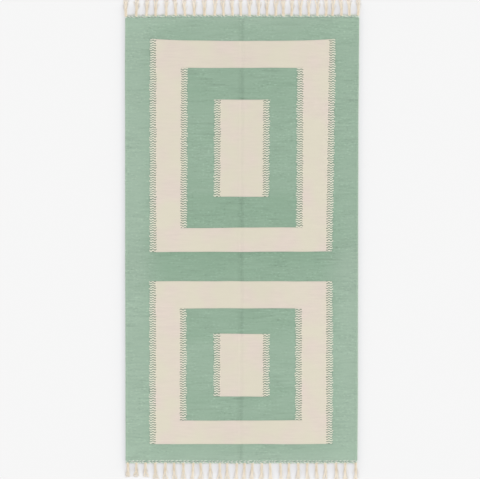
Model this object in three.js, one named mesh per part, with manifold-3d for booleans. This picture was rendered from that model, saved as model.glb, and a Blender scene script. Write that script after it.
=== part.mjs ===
// A kilim runner lying flat: one tapestry-woven cloth and, at each end, a narrow twined
// heading with the warps beyond it knotted into bunches.
// Millimetres, +Z up, +X across the width, +Y along the length towards the far end.
// The origin is the middle of the runner's footprint, on the floor.

import * as THREE from "three";
import { mergeVertices } from "three/addons/utils/BufferGeometryUtils.js";
import Module from "manifold-3d";

const wasm = await Module();
wasm.setup();

// The cloth, and the twined heading that closes each end of it
const clothThickness = 4;
const headingWidth = 8;
const headingThickness = 4.6;
const headingGap = 0.4;
const edgeRoll = 1.1; // how far the top and the underside stand in from the bulge of an edge

// The selvedges: the cloth narrows towards its near end, and mostly on the right.
const selvedgeRows = [
  { along: -670, left: -349.4, right: 346.0 },
  { along: -450, left: -349.9, right: 347.4 },
  { along: 0, left: -350.7, right: 348.0 },
  { along: 350, left: -350.8, right: 348.8 },
  { along: 520, left: -351.3, right: 350.4 },
  { along: 670, left: -350.6, right: 351.3 },
];

// The two woven ends, which bow a little: the outer edges of the headings.
const endRows = [
  { across: -351, near: -670.2, far: 668.4 },
  { across: -200, near: -670.0, far: 671.0 },
  { across: 0, near: -671.4, far: 671.4 },
  { across: 200, near: -670.6, far: 670.4 },
  { across: 351, near: -669.6, far: 671.0 },
];

// Relief of the upper face: doubled warps in the selvedges, a fold crease down the middle,
// and the slow swells of a cloth that has been folded and laid out again.
const selvedgeRise = 0.7;
const selvedgeReach = 9;
const selvedgeCrown = 4; // in from the edge
const creaseAcross = 2;
const creaseWaver = 1.6;
const creaseWaverLength = 900;
const creaseDepth = 0.9;
const creaseHalfWidth = 9;
const swells = [
  { rise: 0.3, across: 310, along: 420, start: 0.4 },
  { rise: 0.2, across: -190, along: 270, start: 2.1 },
];

// Steps of the grids that carry the upper faces
const selvedgeSteps = 4;
const fieldSteps = 10;
const creaseSteps = 4;
const lengthSteps = 40;
const headingSteps = 40;
const headingRows = 2;

// The knotted bunches of warp. They stand closer towards the right of the far end.
const bunchRows = [
  { end: "far", side: 1, count: 27, first: -347.6, last: 347.8, spread: 23, skew: 2.5 },
  { end: "near", side: -1, count: 26, first: -343.1, last: 340.6, spread: -4.3, skew: 7.1 },
];
const bunchSeed = 35912;
const bunchPlaceWaver = 3;
const bunchLength = 56;
const bunchLengthWaver = 4;
const shortBunchLength = 44; // three that frayed off at the near end's left corner
const shortBunches = 3;
const bunchLean = 4;
const bunchBow = 1.6;
const bunchWidthWaver = 0.12;
const bunchRoot = 4; // how far a bunch runs into its heading
const forkedShare = 0.35; // of the bunches, those that have parted into two plies
const forkStart = 0.6;
const forkStartSpread = 0.8;
const forkSpread = 5;

// A bunch from its root to its tip: the knot against the heading, the plied cord, and the
// tuft where the plies have opened. Each share is a share of the length.
const bunchSections = [
  { share: 0.0, wide: 6.0, high: 4.0 },
  { share: 0.1, wide: 8.0, high: 5.0 },
  { share: 0.16, wide: 7.6, high: 4.8 },
  { share: 0.21, wide: 5.4, high: 3.8 },
  { share: 0.55, wide: 6.2, high: 3.8 },
  { share: 0.84, wide: 13.5, high: 3.0 },
  { share: 1.0, wide: 10.5, high: 1.8 },
];
const forkedCordEnd = { share: 0.68, wide: 7.0, high: 3.2 };
const plySections = [
  { share: forkStart, wide: 4.5, high: 3.2 },
  { share: 0.82, wide: 6.5, high: 2.8 },
  { share: 0.98, wide: 5.5, high: 2.0 },
];
const bunchTopShare = 0.6; // how wide the top of a bunch is beside its foot

// A smooth line through a table's rows, level past its two ends.
function lineThrough(rows, place, value) {
  return (where) => {
    const next = rows.findIndex((row) => where <= row[place]);
    if (next === 0) return rows[0][value];
    if (next < 0) return rows[rows.length - 1][value];
    const from = rows[next - 1];
    const to = rows[next];
    const share = THREE.MathUtils.smoothstep(where, from[place], to[place]);
    return THREE.MathUtils.lerp(from[value], to[value], share);
  };
}

const leftEdge = lineThrough(selvedgeRows, "along", "left");
const rightEdge = lineThrough(selvedgeRows, "along", "right");
const nearEnd = lineThrough(endRows, "across", "near");
const farEnd = lineThrough(endRows, "across", "far");
const halfLength = selvedgeRows[selvedgeRows.length - 1].along;

function creaseLine(along) {
  return creaseAcross + creaseWaver * Math.sin((2 * Math.PI * along) / creaseWaverLength);
}

// Shares from -1 at the left selvedge through 0 at the crease to 1 at the right one,
// closer together where the relief is.
function shareAcross() {
  const half = rightEdge(0);
  const fieldEnd = half - selvedgeReach;
  const side = [];
  for (let i = 0; i < creaseSteps; i += 1) side.push((creaseHalfWidth * i) / creaseSteps);
  for (let i = 0; i < fieldSteps; i += 1) {
    side.push(THREE.MathUtils.lerp(creaseHalfWidth, fieldEnd, i / fieldSteps));
  }
  for (let i = 0; i <= selvedgeSteps; i += 1) {
    side.push(fieldEnd + (selvedgeReach * i) / selvedgeSteps);
  }
  const right = side.map((distance) => distance / half);
  const left = right.slice(1).reverse();
  return [...left.map((share) => -share), ...right];
}

function evenShares(steps) {
  return Array.from({ length: steps + 1 }, (_, i) => (2 * i) / steps - 1);
}

// Where a share across and a share along fall on the cloth between the two headings.
function clothPlan(across, along, inset) {
  const nominal = along * halfLength;
  const middle = creaseLine(nominal);
  const edge = across < 0 ? leftEdge(nominal) + inset : rightEdge(nominal) - inset;
  const x = THREE.MathUtils.lerp(middle, edge, Math.abs(across));
  const margin = headingWidth + headingGap + inset;
  const share = (along + 1) / 2;
  return new THREE.Vector2(x, THREE.MathUtils.lerp(nearEnd(x) + margin, farEnd(x) - margin, share));
}

function clothTop(x, y) {
  const fromEdge = Math.min(x - leftEdge(y), rightEdge(y) - x);
  const crown = Math.abs(fromEdge - selvedgeCrown) / (selvedgeReach - selvedgeCrown);
  const rise = selvedgeRise * (1 - THREE.MathUtils.smoothstep(crown, 0, 1));
  const fromCrease = Math.abs(x - creaseLine(y)) / creaseHalfWidth;
  const dip = creaseDepth * (1 - THREE.MathUtils.smoothstep(fromCrease, 0, 1));
  const flat = THREE.MathUtils.smoothstep(fromEdge, 0, 8 * selvedgeReach);
  let swell = 0;
  for (const wave of swells) {
    const turn = (2 * Math.PI * x) / wave.across + (2 * Math.PI * y) / wave.along;
    swell += flat * wave.rise * Math.sin(turn + wave.start);
  }
  return clothThickness + rise - dip + swell;
}

// Where the same shares fall on a heading: side is 1 for the far end and -1 for the near.
function headingPlan(side) {
  return (across, along, inset) => {
    const left = leftEdge(side * halfLength) + inset;
    const right = rightEdge(side * halfLength) - inset;
    const x = THREE.MathUtils.mapLinear(across, -1, 1, left, right);
    const outer = side > 0 ? farEnd(x) : nearEnd(x);
    const middle = outer - (side * headingWidth) / 2;
    return new THREE.Vector2(x, middle + along * (headingWidth / 2 - inset));
  };
}

function headingTop(side) {
  return (x, y) => {
    const outer = side > 0 ? farEnd(x) : nearEnd(x);
    const fromMiddle = Math.abs(y - outer + (side * headingWidth) / 2) / (headingWidth / 2);
    return THREE.MathUtils.lerp(headingThickness, clothThickness - 0.6, fromMiddle ** 2);
  };
}

function closedGeometry(points, faces) {
  const geometry = new THREE.BufferGeometry();
  geometry.setAttribute("position", new THREE.Float32BufferAttribute(points.flat(), 3));
  geometry.setIndex(faces.flat());
  return geometry;
}

// A closed sheet over a grid of shares: a modelled top, a rim that bulges at mid height,
// and a flat underside on the floor made of one band for each step along.
function sheet(acrossShares, alongShares, plan, top) {
  const columns = acrossShares.length;
  const rows = alongShares.length;
  const points = [];
  const faces = [];
  for (const along of alongShares) {
    for (const across of acrossShares) {
      const place = plan(across, along, edgeRoll);
      points.push([place.x, place.y, top(place.x, place.y)]);
    }
  }
  for (let j = 0; j + 1 < rows; j += 1) {
    for (let i = 0; i + 1 < columns; i += 1) {
      const a = j * columns + i;
      faces.push([a, a + 1, a + columns + 1], [a, a + columns + 1, a + columns]);
    }
  }

  const border = [];
  for (let i = 0; i < columns; i += 1) border.push([i, 0]);
  for (let j = 1; j < rows; j += 1) border.push([columns - 1, j]);
  for (let i = columns - 2; i >= 0; i -= 1) border.push([i, rows - 1]);
  for (let j = rows - 2; j > 0; j -= 1) border.push([0, j]);
  const rim = points.length;
  const foot = rim + border.length;
  const footAt = new Map();
  for (const [i, j] of border) {
    const place = plan(acrossShares[i], alongShares[j], 0);
    points.push([place.x, place.y, clothThickness / 2]);
  }
  border.forEach(([i, j], k) => {
    const place = plan(acrossShares[i], alongShares[j], edgeRoll);
    points.push([place.x, place.y, 0]);
    footAt.set(`${i},${j}`, foot + k);
  });
  border.forEach(([i, j], k) => {
    const next = (k + 1) % border.length;
    const upper = j * columns + i;
    const upperNext = border[next][1] * columns + border[next][0];
    faces.push([rim + k, rim + next, upperNext], [rim + k, upperNext, upper]);
    faces.push([foot + k, foot + next, rim + next], [foot + k, rim + next, rim + k]);
  });

  const at = (i, j) => footAt.get(`${i},${j}`);
  const right = columns - 1;
  const last = rows - 1;
  for (let i = 0; i < right; i += 1) {
    faces.push([at(i + 1, 0), at(i, 0), at(0, 1)]);
    faces.push([at(i, last), at(i + 1, last), at(right, last - 1)]);
  }
  faces.push([at(right, 1), at(right, 0), at(0, 1)]);
  faces.push([at(0, last - 1), at(0, last), at(right, last - 1)]);
  for (let j = 1; j + 1 < last; j += 1) {
    faces.push([at(0, j), at(0, j + 1), at(right, j + 1)]);
    faces.push([at(0, j), at(right, j + 1), at(right, j)]);
  }
  return closedGeometry(points, faces);
}

// A bar of four-sided sections that lies level on the floor, along a line in plan.
function strand(sections, lineAt, widthShare) {
  const points = [];
  const faces = [];
  const step = 0.01;
  sections.forEach((section, k) => {
    const middle = lineAt(section.share);
    const before = lineAt(section.share - step);
    const ahead = lineAt(section.share + step).sub(before).normalize();
    const half = (section.wide * widthShare) / 2;
    const corners = [
      [half, 0],
      [-half, 0],
      [-half * bunchTopShare, section.high],
      [half * bunchTopShare, section.high],
    ];
    for (const [out, up] of corners) {
      points.push([middle.x - ahead.y * out, middle.y + ahead.x * out, up]);
    }
    if (k === 0) return;
    const from = 4 * (k - 1);
    for (let c = 0; c < 4; c += 1) {
      const d = (c + 1) % 4;
      faces.push([from + c, from + 4 + d, from + d], [from + c, from + 4 + c, from + 4 + d]);
    }
  });
  const end = points.length - 4;
  faces.push([0, 1, 2], [0, 2, 3], [end, end + 2, end + 1], [end, end + 3, end + 2]);
  return closedGeometry(points, faces);
}

// The same spread of odd values on every run, from -1 to 1
function oddValues(start) {
  let state = start;
  return () => {
    state = (state * 16807) % 2147483647;
    return (2 * state) / 2147483647 - 1;
  };
}

// What is particular to each bunch of one end. Every bunch draws the same six odd values.
function bunchFacts(row, odd) {
  const facts = [];
  for (let i = 0; i < row.count; i += 1) {
    const share = i / (row.count - 1);
    const loose = i > 0 && i < row.count - 1 ? 1 : 0;
    const even = THREE.MathUtils.lerp(row.first, row.last, share);
    const drift = row.spread * Math.sin(Math.PI * share) + row.skew * Math.sin(2 * Math.PI * share);
    const x = even + drift + loose * bunchPlaceWaver * odd();
    const long = bunchLength + bunchLengthWaver * odd();
    const lean = loose * bunchLean * odd();
    const bow = bunchBow * odd();
    const widthShare = 1 + bunchWidthWaver * odd();
    const forked = odd() > 1 - 2 * forkedShare;
    const length = row.side < 0 && i < shortBunches ? shortBunchLength : long;
    facts.push({ x, length, lean, bow, widthShare, forked });
  }
  return facts;
}

// One bunch: its cord and tuft, or its cord and two parted plies.
function bunch(row, { x, length, lean, bow, widthShare, forked }) {
  const start = (row.side > 0 ? farEnd(x) : nearEnd(x)) - row.side * bunchRoot;
  const lineAt = (share, off = 0) => {
    const sway = lean * share ** 2 + bow * Math.sin(Math.PI * share) + off;
    return new THREE.Vector2(x + sway, start + row.side * (length + bunchRoot) * share);
  };
  if (!forked) return [strand(bunchSections, lineAt, widthShare)];
  const cord = bunchSections.filter((section) => section.share < forkStart);
  const plies = [-1, 1].map((way) => {
    const plyAt = (share) => {
      const opened = Math.max(0, share - forkStart) / (1 - forkStart);
      return lineAt(share, way * THREE.MathUtils.lerp(forkStartSpread, forkSpread, opened));
    };
    return strand(plySections, plyAt, widthShare);
  });
  return [strand([...cord, forkedCordEnd], lineAt, widthShare), ...plies];
}

function toSolid(geometry) {
  const merged = mergeVertices(geometry, 1e-5);
  return new wasm.Manifold(
    new wasm.Mesh({
      numProp: 3,
      vertProperties: Float32Array.from(merged.attributes.position.array),
      triVerts: Uint32Array.from(merged.index.array),
    }),
  );
}

function toGeometry(solid) {
  const mesh = solid.getMesh();
  const geometry = new THREE.BufferGeometry();
  geometry.setAttribute("position", new THREE.BufferAttribute(mesh.vertProperties, 3));
  geometry.setIndex(new THREE.BufferAttribute(mesh.triVerts, 1));
  return geometry;
}

function fringe(row, odd) {
  const heading = sheet(
    evenShares(headingSteps),
    evenShares(headingRows),
    headingPlan(row.side),
    headingTop(row.side),
  );
  let solid = toSolid(heading);
  for (const facts of bunchFacts(row, odd)) {
    for (const piece of bunch(row, facts)) solid = solid.add(toSolid(piece));
  }
  return toGeometry(solid);
}

const greenWool = new THREE.MeshStandardMaterial({ color: 0xa2b8a5, roughness: 0.95, metalness: 0 });
const rawCotton = new THREE.MeshStandardMaterial({ color: 0xd8cdb9, roughness: 0.9, metalness: 0 });

function named(name, geometry, material) {
  const mesh = new THREE.Mesh(geometry, material);
  mesh.name = name;
  return mesh;
}

const runner = new THREE.Group();
const cloth = sheet(shareAcross(), evenShares(lengthSteps), clothPlan, clothTop);
runner.add(named("rug_body", cloth, greenWool));
const odd = oddValues(bunchSeed);
for (const row of bunchRows) {
  runner.add(named(`fringe_${row.end}_end`, fringe(row, odd), rawCotton));
}

export default runner;
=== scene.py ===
import math

import bmesh
import bpy
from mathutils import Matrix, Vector, noise


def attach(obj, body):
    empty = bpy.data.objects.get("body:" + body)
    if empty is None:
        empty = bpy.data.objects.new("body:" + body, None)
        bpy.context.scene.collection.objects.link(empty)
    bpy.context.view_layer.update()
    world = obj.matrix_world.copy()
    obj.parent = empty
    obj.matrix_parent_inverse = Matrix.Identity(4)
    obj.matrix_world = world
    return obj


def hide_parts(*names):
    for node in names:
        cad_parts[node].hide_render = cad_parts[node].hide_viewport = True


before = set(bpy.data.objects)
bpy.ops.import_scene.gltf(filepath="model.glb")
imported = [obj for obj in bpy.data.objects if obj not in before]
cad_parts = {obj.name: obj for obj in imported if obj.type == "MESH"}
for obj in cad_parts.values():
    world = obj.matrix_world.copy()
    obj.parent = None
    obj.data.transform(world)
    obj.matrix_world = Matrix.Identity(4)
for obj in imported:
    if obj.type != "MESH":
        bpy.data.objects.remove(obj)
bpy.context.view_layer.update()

# A kilim runner in sea green and natural cream, seen from straight above.
# Lengths are in millimetres until a point is placed: +X is across the width, +Y is along
# the length towards the far end, and the floor is at Z = 0.
mm = 0.001

# Where the selvedges and the two woven ends run, as on the solids
selvedgeRows = [
    dict(at=-670, left=-349.4, right=346.0),
    dict(at=-450, left=-349.9, right=347.4),
    dict(at=0, left=-350.7, right=348.0),
    dict(at=350, left=-350.8, right=348.8),
    dict(at=520, left=-351.3, right=350.4),
    dict(at=670, left=-350.6, right=351.3),
]
endRows = [
    dict(at=-351, near=-670.2, far=668.4),
    dict(at=-200, near=-670.0, far=671.0),
    dict(at=0, near=-671.4, far=671.4),
    dict(at=200, near=-670.6, far=670.4),
    dict(at=351, near=-669.6, far=671.0),
]
halfLength = 670


def smooth(share):
    share = min(1.0, max(0.0, share))
    return share * share * (3 - 2 * share)


def mix(low, high, share):
    return low + (high - low) * share


def lineThrough(rows, value):
    # a smooth line through the rows of a table, level past its ends
    def line(where):
        if where <= rows[0]["at"]:
            return rows[0][value]
        for before, after in zip(rows, rows[1:]):
            if where <= after["at"]:
                share = (where - before["at"]) / (after["at"] - before["at"])
                return mix(before[value], after[value], smooth(share))
        return rows[-1][value]
    return line


leftEdge = lineThrough(selvedgeRows, "left")
rightEdge = lineThrough(selvedgeRows, "right")
nearEnd = lineThrough(endRows, "near")
farEnd = lineThrough(endRows, "far")


def linear(hexColour):
    # an sRGB hex colour as linear values with full alpha
    channels = [int(hexColour[i:i + 2], 16) / 255 for i in (1, 3, 5)]
    curve = [c / 12.92 if c <= 0.04045 else ((c + 0.055) / 1.055) ** 2.4 for c in channels]
    return (*curve, 1.0)


def put(tree, kind, links=(), **settings):
    # adds a node; links gives its live inputs by number or name: a node, a socket or a value
    made = tree.nodes.new("ShaderNode" + kind)
    for name, value in settings.items():
        setattr(made, name, value)
    live = [socket for socket in made.inputs if socket.enabled]
    for key, value in (links.items() if isinstance(links, dict) else enumerate(links)):
        socket = live[key] if isinstance(key, int) else next(s for s in live if s.name == key)
        if isinstance(value, bpy.types.Node):
            value = next(s for s in value.outputs if s.enabled)
        if isinstance(value, bpy.types.NodeSocket):
            tree.links.new(value, socket)
        else:
            socket.default_value = value
    return made


def newMaterial(name):
    material = bpy.data.materials.new(name)
    material.use_nodes = True
    material.node_tree.nodes.clear()
    return material, material.node_tree


def placeInMm(tree):
    # where each point lies on its piece, in millimetres
    place = put(tree, "TexCoord").outputs["Object"]
    return put(tree, "VectorMath", {0: place, "Scale": 1 / mm}, operation="SCALE")


def matteYarn(tree, facts, colour, bump):
    # the surface of every yarn here: matte, with a little sheen from its loose fibres
    shader = put(tree, "BsdfPrincipled", {
        "Base Color": colour, "Roughness": facts["roughness"], "Normal": bump,
        "Specular IOR Level": facts["specular"], "Sheen Weight": facts["sheen"]})
    put(tree, "OutputMaterial", {"Surface": shader})


# The camera looks straight down from 12 m, so the runner shows with hardly any perspective.
camera = dict(
    frameWidth=1440, sensor=36, lens=300,
    lookAcross=-5.9, lookAlong=-0.3,  # the picture's centre on the runner
)


def makeCamera():
    made = bpy.data.objects.new("camera", bpy.data.cameras.new("camera"))
    bpy.context.scene.collection.objects.link(made)
    made.data.sensor_width = camera["sensor"]
    made.data.lens = camera["lens"]
    height = camera["frameWidth"] * camera["lens"] / camera["sensor"]
    made.location = (camera["lookAcross"] * mm, camera["lookAlong"] * mm, height * mm)
    bpy.context.scene.camera = made


makeCamera()
print("camera")

# The two panels of nested rectangles, in the order in which they lie on each other. Their
# sides are dovetailed joins, where the wefts of both colours turn on the same warps.
fields = [
    dict(colour="cream", left=-266.8, right=266.8, leftLean=0, rightLean=4.8,
         near=-37, far=595.4, farBow=5, nearTilt=1.3),
    dict(colour="green", left=-173.8, right=173.7, leftLean=1, rightLean=1.1,
         near=35, far=514.5, farBow=0, nearTilt=0.9),
    dict(colour="cream", left=-74, right=72.8, leftLean=0.7, rightLean=1,
         near=128, far=419, farBow=0, nearTilt=0),
    dict(colour="cream", left=-267.8, right=262.4, leftLean=0, rightLean=0,
         near=-614, far=-125.5, farBow=0, nearTilt=0),
    dict(colour="green", left=-176.2, right=169.7, leftLean=0, rightLean=0,
         near=-543, far=-207, farBow=0, nearTilt=0.8),
    dict(colour="cream", left=-75.2, right=72.4, leftLean=0, rightLean=0,
         near=-471, far=-283.2, farBow=0, nearTilt=0),
]
joins = dict(
    width=19.5, rise=0.25,
    toothPitch=7.2, creamShare=0.5,  # one tooth of each colour, in two picks of thick weft
    greenSideWander=3.6, creamSideWander=2.4,  # how unevenly the cream and the green teeth end
    sway=4.5, swaySize=13, warpStep=0.95, warpPair=12.0,
    # a grey-brown painted shade for the slits between the teeth, a greener cream for the teeth beside
    # the green, then painted shade on the green teeth and painted highlight on the cream ones
    toothSlitShade="#9A9788", paleTooth="#D1D6C4", tint=0.75, paintedToothShade=0.18, paintedToothHighlight=0.1,
    sideFade=0.15, sideFadeFrom=0.8,  # the cream teeth fade at their tips
    relief=0.8,
    fadeOut=2.0, fadeIn=1.0,  # a join's shade begins this far outside its edges and is full inside
    bowPower=4.0,  # a bowed far edge is level in the middle and turns down near its ends
)

cloth = dict(
    thickness=4.0,
    ribs=232,  # warps 3 mm apart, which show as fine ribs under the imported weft
    pointsPerRib=3,
    rows=62,
    ribRise=0.16,
    sheetGap=0.1, rimCuts=3,  # of the plain sheet that is then bent to the cloth's form
    edgeRoll=1.6, leftTrim=0.6,  # the left selvedge shows a little further in than the solid's
    headingWidth=7.2,
    selvedgeRise=0.7, selvedgeReach=9.0, selvedgeCrown=4.0,
    creaseAcross=-1.9, creaseLean=0.0033,
    creaseDepth=0.7, creaseHalfWidth=9.0,
    swells=[
        dict(rise=0.3, across=310, along=420, start=0.4),
        dict(rise=0.2, across=-190, along=270, start=2.1),
    ],
    swellFree=72,  # how far in from the sides the swells are at their full height
    puckerRise=0.22, puckerSize=85,
    undersideRise=0.15,
    countTo=30,  # how far from the crease and the sides their attributes count
)


def creaseLine(along):
    return cloth["creaseAcross"] + cloth["creaseLean"] * along


def clothPlan(across, along, inset):
    nominal = along * halfLength
    left = leftEdge(nominal) + cloth["leftTrim"]
    edge = left + inset if across < 0 else rightEdge(nominal) - inset
    x = mix(creaseLine(nominal), edge, abs(across))
    margin = cloth["headingWidth"] + inset
    y = mix(nearEnd(x) + margin, farEnd(x) - margin, (along + 1) / 2)
    return x, y


def joinRise(x, y):
    for field in fields:
        if field["near"] < y < field["far"]:
            along = (2 * y - field["near"] - field["far"]) / (field["far"] - field["near"])
            for side in ("left", "right"):
                line = field[side] + along * field[side + "Lean"]
                away = abs(x - line) / (joins["width"] / 2)
                if away < 1:
                    return joins["rise"] * (1 - smooth(away))
    return 0.0


def clothTop(x, y, rib):
    fromEdge = min(x - leftEdge(y), rightEdge(y) - x)
    crownReach = cloth["selvedgeReach"] - cloth["selvedgeCrown"]
    crown = cloth["selvedgeRise"] * (1 - smooth(abs(fromEdge - cloth["selvedgeCrown"]) / crownReach))
    dip = cloth["creaseDepth"] * (1 - smooth(abs(x - creaseLine(y)) / cloth["creaseHalfWidth"]))
    free = smooth(fromEdge / cloth["swellFree"])
    swell = 0.0
    for wave in cloth["swells"]:
        turn = 2 * math.pi * (x / wave["across"] + y / wave["along"])
        swell += wave["rise"] * math.sin(turn + wave["start"])
    pucker = noise.noise(Vector((x, y, 0)) / cloth["puckerSize"]) * cloth["puckerRise"]
    ribs = cloth["ribRise"] * math.cos(2 * math.pi * rib)
    return cloth["thickness"] + crown - dip + free * swell + pucker + ribs + joinRise(x, y)


def buildCloth():
    bm = bmesh.new()
    columns = cloth["ribs"] * cloth["pointsPerRib"]
    bmesh.ops.create_grid(bm, x_segments=columns, y_segments=cloth["rows"], size=1.0)
    bmesh.ops.solidify(bm, geom=bm.faces[:], thickness=cloth["sheetGap"])
    levels = [v.co.z for v in bm.verts]
    top, bottom = max(levels), min(levels)
    middle = (top + bottom) / 2
    rimEdges = [e for e in bm.edges if (e.verts[0].co.z > middle) != (e.verts[1].co.z > middle)]
    bmesh.ops.subdivide_edges(bm, edges=rimEdges, cuts=cloth["rimCuts"], use_grid_fill=True)
    warpCount = bm.verts.layers.float.new("warpCount")
    fromCrease = bm.verts.layers.float.new("fromCrease")
    fromSide = bm.verts.layers.float.new("fromSide")
    countTo = cloth["countTo"]
    for vert in bm.verts:
        across, along = vert.co.x, vert.co.y
        turn = math.pi * (top - vert.co.z) / (top - bottom)  # 0 on the top, pi underneath
        x, y = clothPlan(across, along, cloth["edgeRoll"] * (1 - math.sin(turn)))
        rib = (across + 1) / 2 * cloth["ribs"]
        upper = clothTop(x, y, rib)
        lower = cloth["undersideRise"] * (1 - math.cos(2 * math.pi * rib))
        z = mix(lower, upper, (1 + math.cos(turn)) / 2)
        vert.co = (x * mm, y * mm, z * mm)
        vert[warpCount] = rib
        vert[fromCrease] = min(countTo, max(-countTo, x - creaseLine(y)))
        vert[fromSide] = min(countTo, x - leftEdge(y), rightEdge(y) - x)
    bmesh.ops.recalc_face_normals(bm, faces=bm.faces[:])
    mesh = bpy.data.meshes.new("kilimCloth")
    bm.to_mesh(mesh)
    bm.free()
    mesh.shade_smooth()
    made = bpy.data.objects.new("kilimCloth", mesh)
    bpy.context.scene.collection.objects.link(made)
    return made


# Wool weft: matte and a little fuzzy. The borders are woven from one dye lot, and the middle
# from several, so that its green goes from deep to pale and back along the runner.
wool = dict(
    deepGreen="#85A18B", paleGreen="#9AB09E", cream="#D5CFBD", rosyCream="#D7CBC0",
    rosyFrom=-0.1, rosyTo=0.18,
    lengthFade=0.012,  # how much lighter the near end is, and darker the far one
    creamDip=0.016, creamDipFrom=170, creamDipTo=70,  # and darker in the middle rectangles
    roughness=0.92, specular=0.2, sheen=0.1,
    borderFrom=215, borderTo=325,
    borderDip=0.34, borderDipFrom=-80, borderDipTo=20,  # the right border is deeper in its far half
    endLift=0.05, endFrom=585, endTo=640,  # the borders are palest at the corners
    bandDip=0.045, bandMiddle=-80, bandHalf=45, bandReach=95,  # and deepest between the panels
    toneDrift=0.5, toneAcross=150, toneAlong=38,
    edgeSway=3.6, edgeSwaySize=130, edgeReach=5.0, edgeDark=0.07,
    patchSize=85, patchRange=0.12, calmest=0.45, liveliest=1.3,  # stretches of even and uneven yarn
    streakLength=42, streakPitch=5.4,  # three picks tall, so that it shows
    greenStreak=0.30, creamStreak=0.09,
    smudgeLength=120, smudgePitch=11, smudgeFrom=0.1, smudgeTo=0.28, smudgeDark=0.10,
    fleckLength=8, fleckPitch=4.2, fleckFrom=0.16, fleckTo=0.26, fleckLight=0.13, fleckDark=0.10,
    # painted shade along the fold's groove, with some wear, darkest in its dashed core
    creaseFrom=-15.0, creaseTo=10.5, creaseFlat=4.5, creaseDark=0.075,
    creaseCore=4.0, creaseDashDark=0.07, creaseDash=9, creaseDashFrom=-0.08, creaseDashTo=0.12,
    creamCreaseShade=0.1,  # how much of the crease's painted shade and wear shows in the cream
    # a painted highlight along the round of the selvedge
    selvedgeHighlight=0.02, selvedgeFrom=2.0, selvedgeTo=8.5,
    beadHeight=0.3, pickPitch=1.7, fibreLength=2.1, fibreSize=0.7, fibreShare=0.25,
)
# How pale the green of the middle is along the runner, where one lot gives way to the next
dyeLots = [
    dict(at=-662, pale=1.0), dict(at=-610, pale=0.68), dict(at=-530, pale=0.5),
    dict(at=-325, pale=0.66), dict(at=-290, pale=0.4), dict(at=-220, pale=0.35),
    dict(at=-120, pale=0.27), dict(at=-66, pale=0.2), dict(at=-40, pale=0.0), dict(at=40, pale=0.22),
    dict(at=120, pale=0.2), dict(at=150, pale=0.48), dict(at=385, pale=0.5),
    dict(at=430, pale=0.38), dict(at=506, pale=0.38), dict(at=604, pale=0.6),
    dict(at=640, pale=0.72), dict(at=668, pale=1.0),
]


def fieldParts(tree, x, y, row, creamRow, wander, field):
    # what a woven rectangle covers with its teeth, its two joins, their green sides, and
    # the picks beside its far and near edges
    width = joins["width"]
    centre = (field["left"] + field["right"]) / 2
    inner = (field["right"] - field["left"] - width) / 2
    isCream = field["colour"] == "cream"
    length = field["far"] - field["near"]
    offMiddle = (field["far"] + field["near"]) / length
    shift = (field["rightLean"] + field["leftLean"]) / 2
    widen = (field["rightLean"] - field["leftLean"]) / 2
    along = put(tree, "Math", [y, 2 / length, -offMiddle], operation="MULTIPLY_ADD")
    centreLine = put(tree, "Math", [along, shift, centre], operation="MULTIPLY_ADD")
    innerLine = put(tree, "Math", [along, widen, inner], operation="MULTIPLY_ADD")
    offset = put(tree, "Math", [x, centreLine], operation="SUBTRACT")
    away = put(tree, "Math", [offset], operation="ABSOLUTE")
    past = put(tree, "Math", [away, innerLine], operation="SUBTRACT")
    side = put(tree, "Math", [offset], operation="SIGN")
    spot = put(tree, "CombineXYZ", [row, side, creamRow])
    chance = put(tree, "TexWhiteNoise", {"Vector": spot}, noise_dimensions="3D")
    swing = put(tree, "Math", [chance, 0.5], operation="SUBTRACT")
    limit = put(tree, "MapRange", {"Value": creamRow, "To Min": 0.0 if isCream else width,
                                   "To Max": width if isCream else 0.0})
    reach = put(tree, "Math", [swing, wander, limit], operation="MULTIPLY_ADD")
    covered = put(tree, "Math", [past, reach], operation="LESS_THAN")

    spread = put(tree, "Math", [offset, inner], operation="DIVIDE")
    bowed = put(tree, "Math", [away, inner], operation="DIVIDE")
    bowed = put(tree, "Math", [bowed, joins["bowPower"]], operation="POWER")
    farEdge = put(tree, "Math", [bowed, field["farBow"], field["far"]], operation="MULTIPLY_ADD")
    nearEdge = put(tree, "Math", [spread, field["nearTilt"], field["near"]],
                   operation="MULTIPLY_ADD")
    below = put(tree, "Math", [y, farEdge], operation="LESS_THAN")
    above = put(tree, "Math", [y, nearEdge], operation="GREATER_THAN")
    rows = put(tree, "Math", [below, above], operation="MULTIPLY")
    toFar = put(tree, "Math", [y, farEdge], operation="SUBTRACT")
    toNear = put(tree, "Math", [y, nearEdge], operation="SUBTRACT")
    farAway = put(tree, "Math", [toFar], operation="ABSOLUTE")
    nearAway = put(tree, "Math", [toNear], operation="ABSOLUTE")
    nearest = put(tree, "Math", [farAway, nearAway], operation="MINIMUM")
    close = put(tree, "MapRange", {"Value": nearest, "From Min": wool["edgeReach"],
                                   "From Max": 0.0})
    within = put(tree, "Math", [past, width], operation="LESS_THAN")
    edge = put(tree, "Math", [close, within], operation="MULTIPLY")

    entered = put(tree, "MapRange", {"Value": past, "From Min": -joins["fadeOut"],
                                     "From Max": joins["fadeIn"]})
    unpassed = put(tree, "MapRange", {"Value": past, "From Min": width + joins["fadeOut"],
                                      "From Max": width - joins["fadeIn"]})
    join = put(tree, "Math", [entered, unpassed], operation="MULTIPLY")
    join = put(tree, "Math", [join, rows], operation="MULTIPLY")
    green = put(tree, "MapRange", {"Value": past, "From Max": width,
                                   "To Min": 0.0 if isCream else 1.0,
                                   "To Max": 1.0 if isCream else 0.0})
    greenSide = put(tree, "Math", [join, green], operation="MULTIPLY")
    return put(tree, "Math", [covered, rows], operation="MULTIPLY"), join, greenSide, edge


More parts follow.
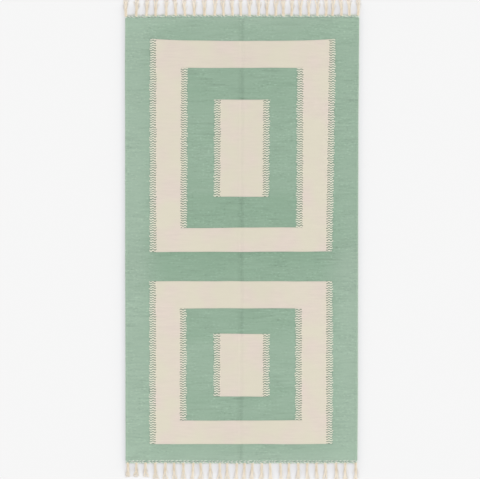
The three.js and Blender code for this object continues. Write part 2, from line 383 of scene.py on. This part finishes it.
def centredNoise(tree, place, across, along, detail=2.0):
    # a noise about 0, drawn out to a real size across and along, in millimetres
    sized = put(tree, "Mapping", {"Vector": place, "Scale": (1 / across, 1 / along, 1 / along)})
    found = put(tree, "TexNoise", {"Vector": sized, "Scale": 1.0, "Detail": detail})
    return put(tree, "Math", [found, 0.5], operation="SUBTRACT")


def dyeTone(tree, x, trueY, place):
    # 0 for the deep green and 1 for the pale one, and how much lighter the borders are
    length = 2 * halfLength
    share = put(tree, "Math", [trueY, 1 / length, 0.5], operation="MULTIPLY_ADD")
    lots = put(tree, "ValToRGB", [share])
    lots.color_ramp.interpolation = "EASE"
    stops = lots.color_ramp.elements
    while len(stops) > 1:
        stops.remove(stops[0])
    for number, lot in enumerate(dyeLots):
        stop = stops[0] if number == 0 else stops.new(lot["at"] / length + 0.5)
        stop.position = lot["at"] / length + 0.5
        stop.color = (lot["pale"], lot["pale"], lot["pale"], 1.0)
    away = put(tree, "Math", [x], operation="ABSOLUTE")
    border = put(tree, "MapRange", {"Value": away, "From Min": wool["borderFrom"],
                                    "From Max": wool["borderTo"]}, interpolation_type="SMOOTHSTEP")
    right = put(tree, "Math", [x, 0.0], operation="GREATER_THAN")
    farHalf = put(tree, "MapRange", {"Value": trueY, "From Min": wool["borderDipFrom"],
                                     "From Max": wool["borderDipTo"], "To Max": wool["borderDip"]},
                  interpolation_type="SMOOTHSTEP")
    dip = put(tree, "Math", [right, farHalf], operation="MULTIPLY")
    borderTone = put(tree, "Math", [1.0, dip], operation="SUBTRACT")
    tone = put(tree, "Mix", {"Factor": border, "A": lots, "B": borderTone}, data_type="FLOAT")
    drift = centredNoise(tree, place, wool["toneAcross"], wool["toneAlong"])
    tone = put(tree, "Math", [drift, wool["toneDrift"], tone], operation="MULTIPLY_ADD")

    outward = put(tree, "Math", [trueY], operation="ABSOLUTE")
    ends = put(tree, "MapRange", {"Value": outward, "From Min": wool["endFrom"],
                                  "From Max": wool["endTo"], "To Max": wool["endLift"]})
    fromBand = put(tree, "Math", [trueY, wool["bandMiddle"]], operation="SUBTRACT")
    bandAway = put(tree, "Math", [fromBand], operation="ABSOLUTE")
    band = put(tree, "MapRange", {"Value": bandAway, "From Min": wool["bandReach"],
                                  "From Max": wool["bandHalf"], "To Max": wool["bandDip"]})
    lift = put(tree, "Math", [ends, band], operation="SUBTRACT")
    return tone, put(tree, "Math", [lift, border], operation="MULTIPLY")


def woolMaterial():
    material, tree = newMaterial("tapestry_woven_wool")
    inMm = placeInMm(tree)
    axes = put(tree, "SeparateXYZ", [inMm])
    x, trueY = axes.outputs["X"], axes.outputs["Y"]
    warpCount = put(tree, "Attribute", attribute_name="warpCount").outputs["Fac"]
    fromCrease = put(tree, "Attribute", attribute_name="fromCrease").outputs["Fac"]
    fromSide = put(tree, "Attribute", attribute_name="fromSide").outputs["Fac"]

    # woven edges rise and fall a little, as the beaten weft does
    sway = centredNoise(tree, inMm, wool["edgeSwaySize"], wool["edgeSwaySize"], detail=1.0)
    y = put(tree, "Math", [sway, wool["edgeSway"], trueY], operation="MULTIPLY_ADD")

    # the teeth: picks of both colours in turn, which step up and down with the warps
    rowSway = centredNoise(tree, inMm, joins["swaySize"], joins["swaySize"], detail=1.0)
    toothY = put(tree, "Math", [rowSway, joins["sway"], trueY], operation="MULTIPLY_ADD")
    warpTurn = put(tree, "Math", [x, 2 * math.pi / joins["warpPair"]], operation="MULTIPLY")
    warpWave = put(tree, "Math", [warpTurn], operation="SINE")
    warpSide = put(tree, "Math", [warpWave], operation="SIGN")
    toothY = put(tree, "Math", [warpSide, joins["warpStep"], toothY], operation="MULTIPLY_ADD")
    teeth = put(tree, "Math", [toothY, joins["toothPitch"]], operation="DIVIDE")
    row = put(tree, "Math", [teeth], operation="FLOOR")
    phase = put(tree, "Math", [teeth], operation="FRACT")
    creamRow = put(tree, "Math", [phase, joins["creamShare"]], operation="LESS_THAN")
    wander = put(tree, "MapRange", {"Value": creamRow, "To Min": joins["creamSideWander"],
                                    "To Max": joins["greenSideWander"]})
    parts = [fieldParts(tree, x, y, row, creamRow, wander, field) for field in fields]
    panels = []
    for outer, ring, centre in (parts[:3], parts[3:]):
        gap = put(tree, "Math", [1.0, centre[0]], operation="SUBTRACT")
        green = put(tree, "Math", [ring[0], gap], operation="MULTIPLY")
        left = put(tree, "Math", [1.0, green], operation="SUBTRACT")
        panels.append(put(tree, "Math", [outer[0], left], operation="MULTIPLY"))
    creamShare = put(tree, "Math", panels, operation="MAXIMUM")
    join, greenSide, edge = parts[0][1:]
    for part in parts[1:]:
        join = put(tree, "Math", [join, part[1]], operation="MAXIMUM")
        greenSide = put(tree, "Math", [greenSide, part[2]], operation="MAXIMUM")
        edge = put(tree, "Math", [edge, part[3]], operation="MAXIMUM")

    # in a join the green teeth beside the cream are mixed with a grey-brown painted shade of the
    # slits between the teeth, and the cream teeth are greener beside the green
    tone, borderLift = dyeTone(tree, x, trueY, inMm)
    green = put(tree, "Mix", {"Factor": tone, "A": linear(wool["deepGreen"]),
                              "B": linear(wool["paleGreen"])}, data_type="RGBA")
    creamSide = put(tree, "Math", [join, greenSide], operation="SUBTRACT")
    slitShadeShare = put(tree, "Math", [creamSide, joins["tint"]], operation="MULTIPLY")
    green = put(tree, "Mix", {"Factor": slitShadeShare, "A": green,
                              "B": linear(joins["toothSlitShade"])}, data_type="RGBA")
    patch = centredNoise(tree, inMm, wool["patchSize"], wool["patchSize"], detail=1.0)
    rosy = put(tree, "MapRange", {"Value": patch, "From Min": wool["rosyFrom"],
                                  "From Max": wool["rosyTo"]})
    cream = put(tree, "Mix", {"Factor": rosy, "A": linear(wool["cream"]),
                              "B": linear(wool["rosyCream"])}, data_type="RGBA")
    greened = put(tree, "Math", [greenSide, joins["tint"]], operation="MULTIPLY")
    cream = put(tree, "Mix", {"Factor": greened, "A": cream,
                              "B": linear(joins["paleTooth"])}, data_type="RGBA")
    colour = put(tree, "Mix", {"Factor": creamShare, "A": green, "B": cream}, data_type="RGBA")

    # streaks of thicker and thinner yarn, and slubs of lighter and darker wool
    lively = put(tree, "MapRange", {"Value": patch, "From Min": -wool["patchRange"],
                                    "From Max": wool["patchRange"], "To Min": wool["calmest"],
                                    "To Max": wool["liveliest"]})
    streak = centredNoise(tree, inMm, wool["streakLength"], wool["streakPitch"])
    streak = put(tree, "Math", [streak, lively], operation="MULTIPLY")
    streakRise = put(tree, "MapRange", {"Value": creamShare, "To Min": wool["greenStreak"],
                                        "To Max": wool["creamStreak"]})
    level = put(tree, "MapRange", {"Value": trueY, "From Min": -halfLength, "From Max": halfLength,
                                   "To Min": 1 + wool["lengthFade"],
                                   "To Max": 1 - wool["lengthFade"]})
    fromMiddle = put(tree, "Math", [x], operation="ABSOLUTE")
    inner = put(tree, "MapRange", {"Value": fromMiddle, "From Min": wool["creamDipFrom"],
                                   "From Max": wool["creamDipTo"], "To Max": wool["creamDip"]})
    inner = put(tree, "Math", [inner, creamShare], operation="MULTIPLY")
    level = put(tree, "Math", [level, inner], operation="SUBTRACT")
    shade = put(tree, "Math", [streak, streakRise, level], operation="MULTIPLY_ADD")
    smudge = centredNoise(tree, inMm, wool["smudgeLength"], wool["smudgePitch"], detail=1.0)
    smudge = put(tree, "MapRange", {"Value": smudge, "From Min": wool["smudgeFrom"],
                                    "From Max": wool["smudgeTo"], "To Max": -wool["smudgeDark"]})
    fleck = centredNoise(tree, inMm, wool["fleckLength"], wool["fleckPitch"], detail=0.0)
    lightFleck = put(tree, "MapRange", {"Value": fleck, "From Min": wool["fleckFrom"],
                                        "From Max": wool["fleckTo"], "To Max": wool["fleckLight"]})
    darkFleck = put(tree, "MapRange", {"Value": fleck, "From Min": -wool["fleckFrom"],
                                       "From Max": -wool["fleckTo"], "To Max": wool["fleckDark"]})
    flecks = put(tree, "Math", [lightFleck, darkFleck], operation="SUBTRACT")
    marks = put(tree, "Math", [flecks, lively, smudge], operation="MULTIPLY_ADD")
    # painted shade on the green teeth, as if they were recessed, and painted highlight on the cream
    # ones, as if they were raised
    toothShadeAndHighlight = put(tree, "MapRange", {"Value": creamShare, "To Min": -joins["paintedToothShade"],
                                        "To Max": joins["paintedToothHighlight"]})
    shade = put(tree, "Math", [toothShadeAndHighlight, join, shade], operation="MULTIPLY_ADD")
    fade = put(tree, "MapRange", {"Value": greenSide, "From Min": joins["sideFadeFrom"],
                                  "To Max": -joins["sideFade"]})
    shade = put(tree, "Math", [fade, creamShare, shade], operation="MULTIPLY_ADD")
    greenShare = put(tree, "Math", [1.0, creamShare], operation="SUBTRACT")
    shade = put(tree, "Math", [marks, greenShare, shade], operation="MULTIPLY_ADD")
    shade = put(tree, "Math", [edge, -wool["edgeDark"], shade], operation="MULTIPLY_ADD")
    shade = put(tree, "Math", [shade, borderLift], operation="ADD")

    # painted shade along the fold, with some wear: a soft dark line with darker dashes, softer on its
    # left flank
    leftFlank = put(tree, "MapRange", {"Value": fromCrease, "From Min": wool["creaseFrom"],
                                       "From Max": -wool["creaseFlat"]},
                    interpolation_type="SMOOTHSTEP")
    rightFlank = put(tree, "MapRange", {"Value": fromCrease, "From Min": wool["creaseTo"],
                                        "From Max": wool["creaseFlat"]},
                     interpolation_type="SMOOTHSTEP")
    soft = put(tree, "Math", [leftFlank, rightFlank], operation="MULTIPLY")
    foldAway = put(tree, "Math", [fromCrease], operation="ABSOLUTE")
    core = put(tree, "MapRange", {"Value": foldAway, "From Min": wool["creaseCore"],
                                  "From Max": 0.0, "To Max": wool["creaseDashDark"]},
               interpolation_type="SMOOTHSTEP")
    dash = centredNoise(tree, inMm, wool["creaseDash"], wool["creaseDash"], detail=1.0)
    dashShare = put(tree, "MapRange", {"Value": dash, "From Min": wool["creaseDashFrom"],
                                       "From Max": wool["creaseDashTo"]})
    dashes = put(tree, "Math", [core, dashShare], operation="MULTIPLY")
    creaseShadeAndWear = put(tree, "Math", [soft, wool["creaseDark"], dashes], operation="MULTIPLY_ADD")
    creaseShadeShare = put(tree, "MapRange", {"Value": creamShare, "To Min": 1.0,
                                       "To Max": wool["creamCreaseShade"]})
    paintedCreaseShade = put(tree, "Math", [creaseShadeAndWear, creaseShadeShare], operation="MULTIPLY")
    shade = put(tree, "Math", [shade, paintedCreaseShade], operation="SUBTRACT")

    # a painted highlight: the round of the selvedge shows as a lighter line
    middle = (wool["selvedgeFrom"] + wool["selvedgeTo"]) / 2
    half = (wool["selvedgeTo"] - wool["selvedgeFrom"]) / 2
    fromLine = put(tree, "Math", [fromSide, middle], operation="SUBTRACT")
    lineAway = put(tree, "Math", [fromLine], operation="ABSOLUTE")
    line = put(tree, "MapRange", {"Value": lineAway, "From Min": half, "From Max": 0.0,
                                  "To Max": wool["selvedgeHighlight"]},
               interpolation_type="SMOOTHSTEP")
    shade = put(tree, "Math", [shade, line], operation="ADD")
    shaded = put(tree, "VectorMath", {0: colour, "Scale": shade}, operation="SCALE")

    # each pick shows as a bead on every second warp, and the next pick on those between
    warp = put(tree, "Math", [warpCount], operation="ROUND")
    parity = put(tree, "Math", [warp, 2.0], operation="FLOORED_MODULO")
    pick = put(tree, "Math", [trueY, wool["pickPitch"]], operation="DIVIDE")
    turn = put(tree, "Math", [parity, 0.5, pick], operation="MULTIPLY_ADD")
    pickShare = put(tree, "Math", [turn], operation="FRACT")
    along = put(tree, "Math", [pickShare, math.pi], operation="MULTIPLY")
    crown = put(tree, "Math", [along], operation="SINE")
    fromWarp = put(tree, "Math", [warpCount, warp], operation="SUBTRACT")
    across = put(tree, "Math", [fromWarp, math.pi], operation="MULTIPLY")
    barrel = put(tree, "Math", [across], operation="COSINE")
    bead = put(tree, "Math", [crown, barrel], operation="MULTIPLY")
    fibre = centredNoise(tree, inMm, wool["fibreLength"], wool["fibreSize"])
    height = put(tree, "Math", [fibre, wool["fibreShare"], bead], operation="MULTIPLY_ADD")
    # and each tooth of a join is as round as the picks in it
    toothTurn = put(tree, "Math", [phase, 2 * math.pi], operation="MULTIPLY")
    toothWave = put(tree, "Math", [toothTurn], operation="SINE")
    toothRound = put(tree, "Math", [toothWave], operation="ABSOLUTE")
    relief = put(tree, "Math", [join, joins["relief"]], operation="MULTIPLY")
    height = put(tree, "Math", [toothRound, relief, height], operation="MULTIPLY_ADD")
    bump = put(tree, "Bump", {"Height": height, "Distance": wool["beadHeight"] * mm})
    matteYarn(tree, wool, shaded.outputs[0], bump)
    return material


kilimCloth = buildCloth()
kilimCloth.data.materials.append(woolMaterial())
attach(kilimCloth, "root")
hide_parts("rug_body")
print("woven cloth")

# The bunches of warp, as on the solids: both draw the same odd values in the same order.
bunches = dict(
    rows=[
        dict(end="Far", side=1, count=27, first=-347.6, last=347.8, spread=23.0, skew=2.5,
             gatherTo=675.6, tuftStart=0.42),
        dict(end="Near", side=-1, count=26, first=-343.1, last=340.6, spread=-4.3, skew=7.1,
             gatherTo=673.0, tuftStart=0.5),
    ],
    seed=35912,
    placeWaver=3.0, length=56.0, lengthWaver=4.0, shortLength=44.0, shortCount=3,
    lean=4.0, bow=1.6, widthWaver=0.12, root=4.0, forkedShare=0.35,
    knotFrom=0.06, knotTo=0.17, knotTurns=1.6, knotYarn=1.25, knotRadius=2.7, knotRise=1.2,
    knotSteps=20,
    plies=3, plyRadius=1.7, plyTwist=2.1, plyFlat=0.32, plyPitch=17.0, plySteps=22,
    plyTaper=0.5, plyTaperFrom=0.8,
    cordMiddle=2.4, cordEnd=0.62,
    gathered=10, gatherReach=14.5, gatherWaver=0.8, gatherLeast=0.3, gatherYarn=0.6,
    gatherLow=1.3, gatherHigh=2.0, gatherRise=5, gatherSteps=6, sideMargin=1.5,
    yarns=13, yarnRadius=0.7, yarnSteps=7, yarnTaper=0.45, yarnWaver=0.7, yarnWobble=0.5,
    tuftNarrow=1.6, tuftHalf=5.8, tuftOpening=1.1, tuftLift=1.1, tuftEnd=0.96, tuftEndWaver=0.05,
    forkHalf=3.0, forkApart=4.4,
    hairs=18, hairRadius=0.18, hairReach=12.0, hairSweep=1.5, hairCurl=1.9, hairSteps=6,
    hairStart=0.25, hairStartWaver=0.2, hairLength=0.52,
)


def oddValues(state):
    # the same spread of odd values on every run, from -1 to 1
    factor, prime = 16807, 2147483647
    while True:
        state = state * factor % prime
        yield 2 * state / prime - 1


def bunchFacts(row, odd):
    facts = []
    for i in range(row["count"]):
        share = i / (row["count"] - 1)
        loose = 0 < i < row["count"] - 1
        x = mix(row["first"], row["last"], share) + row["spread"] * math.sin(math.pi * share)
        x += row["skew"] * math.sin(2 * math.pi * share) + loose * bunches["placeWaver"] * next(odd)
        length = bunches["length"] + bunches["lengthWaver"] * next(odd)
        lean = loose * bunches["lean"] * next(odd)
        bow = bunches["bow"] * next(odd)
        wide = 1 + bunches["widthWaver"] * next(odd)
        forked = next(odd) > 1 - 2 * bunches["forkedShare"]
        if row["side"] < 0 and i < bunches["shortCount"]:
            length = bunches["shortLength"]
        facts.append(dict(x=x, length=length, lean=lean, bow=bow, wide=wide, forked=forked))
    return facts


def wovenEnd(side, x):
    return farEnd(x) if side > 0 else nearEnd(x)


def bunchPoint(side, fact, share, off=0.0, up=0.0):
    # a point on a bunch, off to its right and up from the floor
    start = wovenEnd(side, fact["x"]) - side * bunches["root"]
    sway = fact["lean"] * share ** 2 + fact["bow"] * math.sin(math.pi * share) + off
    return fact["x"] + sway, start + side * (fact["length"] + bunches["root"]) * share, up


def addStrand(curve, points, radii, slot=0):
    # a round yarn through points in millimetres, with a radius at each
    spline = curve.splines.new("POLY")
    spline.points.add(len(points) - 1)
    spline.use_smooth = True
    spline.material_index = slot
    for point, place, radius in zip(spline.points, points, radii):
        point.co = (*(axis * mm for axis in place), 1.0)
        point.radius = radius


def newYarnCurve(name, materials):
    curve = bpy.data.curves.new(name, "CURVE")
    for material in materials:
        curve.materials.append(material)
    curve.dimensions = "3D"
    curve.bevel_depth = mm  # so that the radius of a point is in millimetres
    curve.bevel_resolution = 1  # six sides are round enough for a yarn
    curve.use_fill_caps = True
    return curve


def finishYarns(curve, name):
    # turns the yarns into one mesh with closed ends
    holder = bpy.data.objects.new(name, curve)
    bpy.context.scene.collection.objects.link(holder)
    bpy.context.view_layer.update()
    mesh = bpy.data.meshes.new_from_object(holder)
    bpy.data.objects.remove(holder)
    bpy.data.curves.remove(curve)
    mesh.name = name
    bm = bmesh.new()
    bm.from_mesh(mesh)
    bmesh.ops.remove_doubles(bm, verts=bm.verts[:], dist=1e-7)
    bmesh.ops.recalc_face_normals(bm, faces=bm.faces[:])
    bm.to_mesh(mesh)
    bm.free()
    mesh.shade_smooth()
    made = bpy.data.objects.new(name, mesh)
    bpy.context.scene.collection.objects.link(made)
    return made


def addCord(curve, side, fact):
    ends = (bunches["knotFrom"], bunches["cordEnd"])
    whole = fact["length"] + bunches["root"]
    for ply in range(bunches["plies"]):
        points, radii = [], []
        for k in range(bunches["plySteps"] + 1):
            share = mix(*ends, k / bunches["plySteps"])
            turn = 2 * math.pi * (share * whole / bunches["plyPitch"] + ply / bunches["plies"])
            off = bunches["plyTwist"] * math.cos(turn) * fact["wide"]
            up = bunches["cordMiddle"] + bunches["plyTwist"] * bunches["plyFlat"] * math.sin(turn)
            points.append(bunchPoint(side, fact, share, off, up))
            late = (k / bunches["plySteps"] - bunches["plyTaperFrom"]) / (1 - bunches["plyTaperFrom"])
            radii.append(bunches["plyRadius"] * (1 - bunches["plyTaper"] * smooth(late)))
        addStrand(curve, points, radii)


def addKnot(curve, side, fact):
    # a yarn that is wound round the bunch
    points = []
    for k in range(bunches["knotSteps"] + 1):
        wound = k / bunches["knotSteps"]
        share = mix(bunches["knotFrom"], bunches["knotTo"], wound)
        turn = 2 * math.pi * bunches["knotTurns"] * wound
        off = bunches["knotRadius"] * fact["wide"] * math.cos(turn)
        up = bunches["knotYarn"] + bunches["knotRise"] * (1 + math.sin(turn))
        points.append(bunchPoint(side, fact, share, off, up))
    addStrand(curve, points, [bunches["knotYarn"]] * len(points))


def addGathered(curve, row, fact, odd):
    # the last cream weft, which runs in along the heading with the warps to each knot
    side = row["side"]
    slot = list(twining["colours"]).index("cream")
    y = side * halfLength
    left, right = leftEdge(y) + bunches["sideMargin"], rightEdge(y) - bunches["sideMargin"]
    for k in range(bunches["gathered"]):
        even = 2 * k / (bunches["gathered"] - 1) - 1
        out = bunches["gatherReach"] * even + bunches["gatherWaver"] * next(odd)
        out = min(right, max(left, fact["x"] + out)) - fact["x"]
        reach = mix(bunches["gatherLeast"], 1.0, (1 + next(odd)) / 2)
        points = []
        for step in range(bunches["gatherSteps"] + 1):
            share = step / bunches["gatherSteps"]
            x = fact["x"] + out * (1 - smooth(share))
            start = wovenEnd(side, x) - side
            risen = reach * smooth(bunches["gatherRise"] * share)
            points.append((x, mix(start, side * row["gatherTo"], risen),
                           mix(bunches["gatherLow"], bunches["gatherHigh"], share)))
        addStrand(curve, points, [bunches["gatherYarn"]] * len(points), slot)


def addTuft(curve, row, fact, odd):
    # the opened end of the bunch, which some bunches have in two halves
    for k in range(bunches["yarns"]):
        even = 2 * k / (bunches["yarns"] - 1) - 1
        spread = even * bunches["tuftHalf"]
        if fact["forked"]:
            way = -1 if even < 0 else 1
            inner = 2 * (abs(even) - 0.5)
            spread = way * (bunches["forkApart"] + inner * bunches["forkHalf"])
        spread = (spread + bunches["yarnWaver"] * next(odd)) * fact["wide"]
        tip = bunches["tuftEnd"] + bunches["tuftEndWaver"] * next(odd)
        wobble = bunches["yarnWobble"] * next(odd)
        lift = bunches["tuftLift"] * (1 + next(odd)) / 2
        points, radii = [], []
        for step in range(bunches["yarnSteps"] + 1):
            along = step / bunches["yarnSteps"]
            share = mix(row["tuftStart"], tip, along)
            opened = smooth(along * bunches["tuftOpening"])
            off = mix(even * bunches["tuftNarrow"], spread, opened)
            off += wobble * math.sin(2.5 * math.pi * along + k)
            radius = bunches["yarnRadius"] * (1 - bunches["yarnTaper"] * along)
            up = mix(bunches["cordMiddle"], radius + lift * (1 - along), opened)
            points.append(bunchPoint(row["side"], fact, share, off, max(up, radius)))
            radii.append(radius)
        addStrand(curve, points, radii)


def addHairs(curve, side, fact, odd):
    # single fibres that have worked loose from the cord
    for k in range(bunches["hairs"]):
        start = bunches["hairStart"] + bunches["hairStartWaver"] * next(odd)
        reach = bunches["hairReach"] * next(odd)
        curl = bunches["hairCurl"] * next(odd)
        points = []
        for step in range(bunches["hairSteps"] + 1):
            along = step / bunches["hairSteps"]
            share = start + bunches["hairLength"] * along
            off = reach * along ** bunches["hairSweep"] + curl * math.sin(2 * math.pi * along)
            up = mix(bunches["cordMiddle"], bunches["hairRadius"], smooth(along * 1.5))
            points.append(bunchPoint(side, fact, share, off, up))
        addStrand(curve, points, [bunches["hairRadius"]] * len(points))


# Unbleached cotton warp: matte and slightly hairy, a warm ivory
cotton = dict(
    pale="#EDE3D2", deep="#E0D1B9", tip="#FBF1E2", roughness=0.9, specular=0.2, sheen=0.15,
    tipFrom=692, tipTo=712,  # where the opened ends begin to look paler than the cords, a painted light against the shade among their loose yarns
    driftSize=14, driftRange=0.2, twistPitch=1.6, twistHeight=0.18,
)


def cottonMaterial():
    material, tree = newMaterial("unbleached_cotton_warp")
    inMm = placeInMm(tree)
    drift = centredNoise(tree, inMm, cotton["driftSize"] / 2, cotton["driftSize"])
    share = put(tree, "MapRange", {"Value": drift, "From Min": -cotton["driftRange"],
                                   "From Max": cotton["driftRange"]})
    colour = put(tree, "Mix", {"Factor": share, "A": linear(cotton["pale"]),
                               "B": linear(cotton["deep"])}, data_type="RGBA")
    axes = put(tree, "SeparateXYZ", [inMm])
    outward = put(tree, "Math", [axes.outputs["Y"]], operation="ABSOLUTE")
    # the opened ends are painted paler, a painted light against the shade among their loose yarns
    opened = put(tree, "MapRange", {"Value": outward, "From Min": cotton["tipFrom"],
                                    "From Max": cotton["tipTo"]})
    colour = put(tree, "Mix", {"Factor": opened, "A": colour, "B": linear(cotton["tip"])},
                 data_type="RGBA")
    slant = put(tree, "Math", [axes.outputs["X"], axes.outputs["Y"]], operation="ADD")
    turn = put(tree, "Math", [slant, 2 * math.pi / cotton["twistPitch"]], operation="MULTIPLY")
    twist = put(tree, "Math", [turn], operation="SINE")
    bump = put(tree, "Bump", {"Height": twist, "Distance": cotton["twistHeight"] * mm})
    matteYarn(tree, cotton, colour, bump)
    return material


# The heading is two ropes of twining, each of two wefts that turn round each other between
# the warps, the outer rope the other way. More of it is cream at the near end.
twining = dict(
    yarnRadius=1.3, turnAcross=1.2, turnUp=1.0, pitch=12.0, stepsPerTurn=10,
    middle=2.35, rowApart=5.0, firstIn=6.6, sideMargin=1.5, uneven=0.9, unevenSize=22,
    ropes=dict(Far=[("green", "green"), ("green", "cream")],
               Near=[("green", "cream"), ("green", "cream")]),
    colours=dict(green="#A6BFAC", cream="#D8DDD2"),
    roughness=0.92, specular=0.2, sheen=0.1,
    fleckSize=5.0, fleckRise=0.7, fibreSize=1.0, fibreShade=0.3, fibreHeight=0.15,
)


def twinedYarnMaterial(name, hexColour):
    material, tree = newMaterial(name)
    inMm = placeInMm(tree)
    size = twining["fibreSize"]
    fibre = centredNoise(tree, inMm, size, size)
    fleck = centredNoise(tree, inMm, twining["fleckSize"], twining["fleckSize"], detail=1.0)
    flecked = put(tree, "Math", [fleck, twining["fleckRise"], 1.0], operation="MULTIPLY_ADD")
    shade = put(tree, "Math", [fibre, twining["fibreShade"], flecked], operation="MULTIPLY_ADD")
    colour = put(tree, "VectorMath", {0: linear(hexColour)[:3], "Scale": shade}, operation="SCALE")
    bump = put(tree, "Bump", {"Height": fibre, "Distance": twining["fibreHeight"] * mm})
    matteYarn(tree, twining, colour.outputs[0], bump)
    return material


def addTwining(curve, end, side):
    y = side * halfLength
    left, right = leftEdge(y) + twining["sideMargin"], rightEdge(y) - twining["sideMargin"]
    steps = round((right - left) / twining["pitch"] * twining["stepsPerTurn"])
    colours = list(twining["colours"])
    for rope, wefts in enumerate(twining["ropes"][end]):
        inward = twining["firstIn"] - rope * twining["rowApart"]
        handed = 1 if rope else -1
        for number, weft in enumerate(wefts):
            points = []
            for k in range(steps + 1):
                x = mix(left, right, k / steps)
                slack = noise.noise(Vector((x / twining["unevenSize"], 7 * rope, side)))
                turns = x / twining["pitch"] + number / 2 + slack * twining["uneven"]
                turn = 2 * math.pi * turns
                along = wovenEnd(side, x) - side * inward
                points.append((x, along + handed * twining["turnAcross"] * math.cos(turn),
                               twining["middle"] + twining["turnUp"] * math.sin(turn)))
            addStrand(curve, points, [twining["yarnRadius"]] * len(points), colours.index(weft))


cottonWarp = cottonMaterial()
twinedYarns = [twinedYarnMaterial(f"twined_{name}_wool", colour)
               for name, colour in twining["colours"].items()]
placing = oddValues(bunches["seed"])
fraying = oddValues(bunches["seed"] + 1)
for row in bunches["rows"]:
    node = f"fringe_{row['end'].lower()}_end"
    ropes = newYarnCurve("ropes", twinedYarns)
    addTwining(ropes, row["end"], row["side"])
    yarns = newYarnCurve("yarns", [cottonWarp])
    for fact in bunchFacts(row, placing):
        addGathered(ropes, row, fact, fraying)
        addKnot(yarns, row["side"], fact)
        addCord(yarns, row["side"], fact)
        addTuft(yarns, row, fact, fraying)
        addHairs(yarns, row["side"], fact, fraying)
    heading = finishYarns(ropes, f"heading{row['end']}End")
    fringe = finishYarns(yarns, f"fringe{row['end']}End")
    for piece, slot in ((heading, "woven_wool"), (fringe, "warp_cotton")):
        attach(piece, "root")
        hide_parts(node)
    print("heading and fringe of the", row["end"].lower(), "end")

# A plain pale floor under a faintly blue sky, with a warmer light low on each side, so that
# the cloth and the bunches darken the floor beside them
studio = dict(
    floorColour="#E6E6E6", floorSize=24.0, floorDrop=0.2,
    sky=(0.951, 0.955, 1.0), skyStrength=0.997, sun=(1.0, 0.98, 0.78),
    keys=[
        dict(name="rightLight", strength=1.7, spread=29, turn=(0, 75, 0)),
        dict(name="leftLight", strength=1.15, spread=26, turn=(0, -77, 0)),
    ],
)


def makeStudio():
    bm = bmesh.new()
    bmesh.ops.create_grid(bm, x_segments=1, y_segments=1, size=studio["floorSize"] / 2)
    bmesh.ops.translate(bm, verts=bm.verts[:], vec=(0, 0, -studio["floorDrop"] * mm))
    mesh = bpy.data.meshes.new("floor")
    bm.to_mesh(mesh)
    bm.free()
    floor = bpy.data.objects.new("floor", mesh)
    bpy.context.scene.collection.objects.link(floor)
    material, tree = newMaterial("matte_floor_paint")
    shader = put(tree, "BsdfDiffuse", {"Color": linear(studio["floorColour"])})
    put(tree, "OutputMaterial", {"Surface": shader})
    mesh.materials.append(material)

    world = bpy.data.worlds.new("daylight")
    world.use_nodes = True
    sky = world.node_tree.nodes["Background"]
    sky.inputs["Color"].default_value = (*studio["sky"], 1.0)
    sky.inputs["Strength"].default_value = studio["skyStrength"]
    bpy.context.scene.world = world
    for key in studio["keys"]:
        light = bpy.data.objects.new(key["name"], bpy.data.lights.new(key["name"], "SUN"))
        light.data.energy = key["strength"]
        light.data.color = studio["sun"]
        light.data.angle = math.radians(key["spread"])
        light.rotation_euler = [math.radians(turn) for turn in key["turn"]]
        bpy.context.scene.collection.objects.link(light)
    bpy.context.scene.view_settings.view_transform = "Standard"


makeStudio()
print("floor and light")
